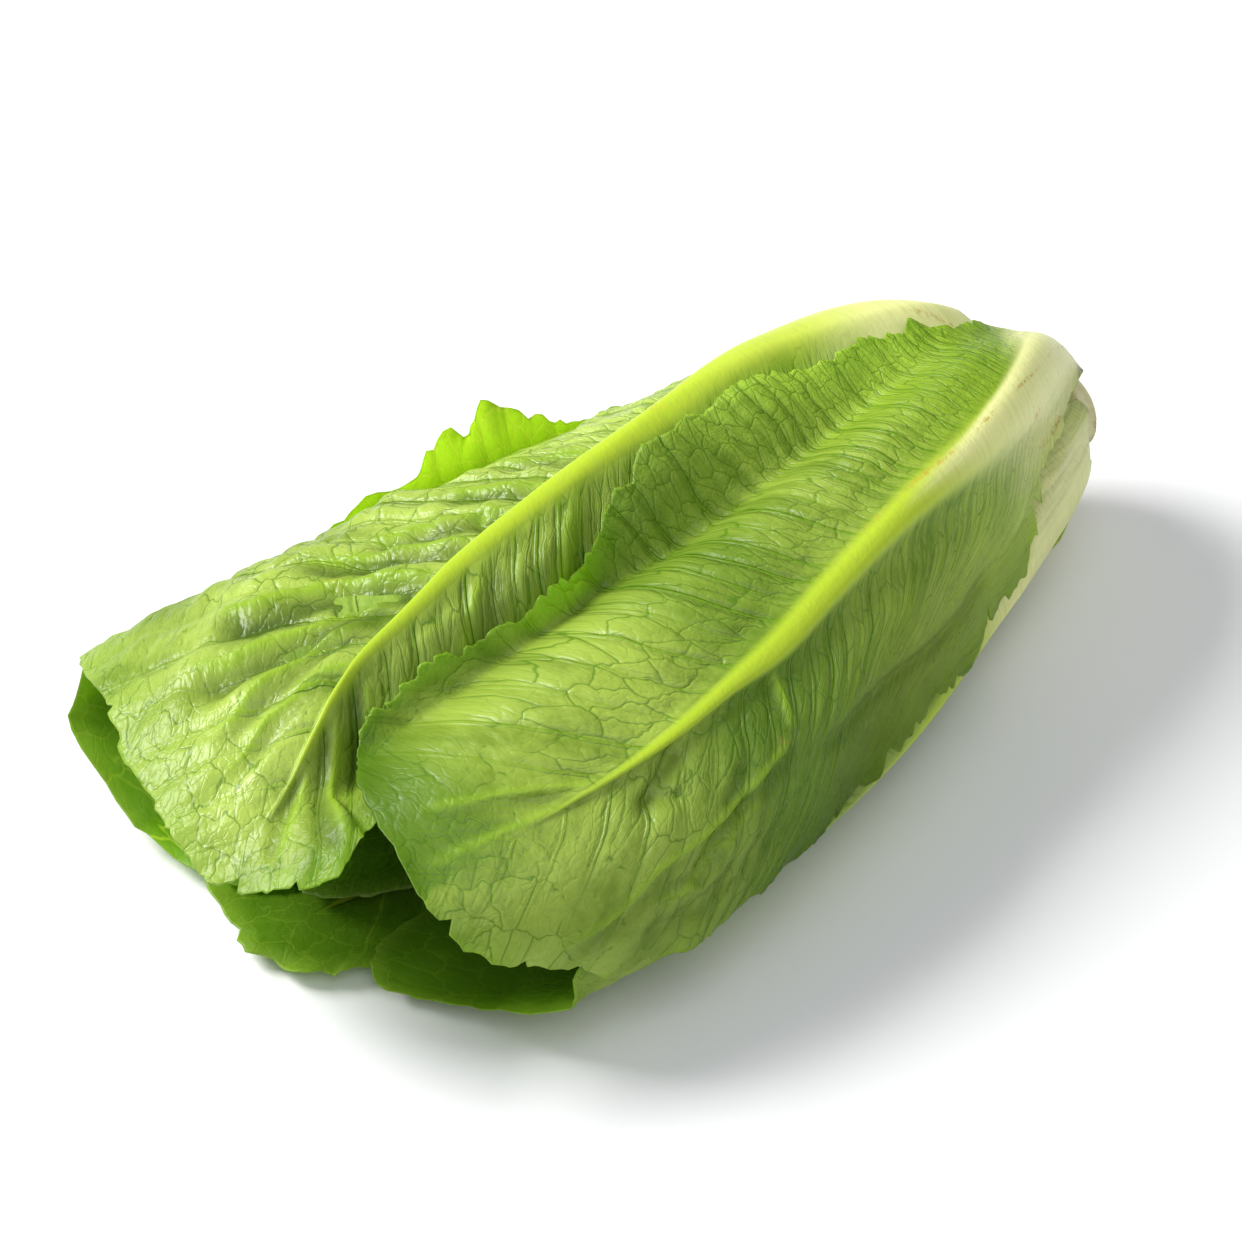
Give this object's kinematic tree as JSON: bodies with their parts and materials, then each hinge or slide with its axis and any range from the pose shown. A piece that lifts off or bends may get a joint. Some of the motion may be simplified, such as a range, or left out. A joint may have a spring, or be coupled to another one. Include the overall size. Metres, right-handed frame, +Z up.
{
  "type": "romaine heart",
  "caption": "Trimmed head of long wrapped lettuce leaves with thick pale ribs and a cut stem, lying on its side.",
  "frame": {"origin": "middle of the flat spot on the lowest leaf's rib, where the head rests on the table", "axes": "+X along the head toward the cut stem, -Y toward the pictured front, +Z up from the table"},
  "size_m": [0.269, 0.1531, 0.0715],
  "materials": {
    "outer_leaf": "waxy green leaf, satin",
    "inner_leaf": "light green leaf, satin",
    "heart_leaf": "yellow-green leaf, satin",
    "core": "cream stem with a browned cut"
  },
  "bodies": {
    "root": {"core": "core", "leaf_under": "outer_leaf", "leaf_front": "outer_leaf", "leaf_back_low": "outer_leaf", "leaf_front_low": "outer_leaf", "leaf_back": "outer_leaf", "leaf_inner_1": "inner_leaf", "leaf_inner_2": "inner_leaf", "leaf_inner_3": "inner_leaf", "leaf_heart_1": "heart_leaf", "leaf_heart_2": "heart_leaf", "leaf_heart_3": "heart_leaf", "leaf_heart_4": "heart_leaf"}
  },
  "joints": []
}
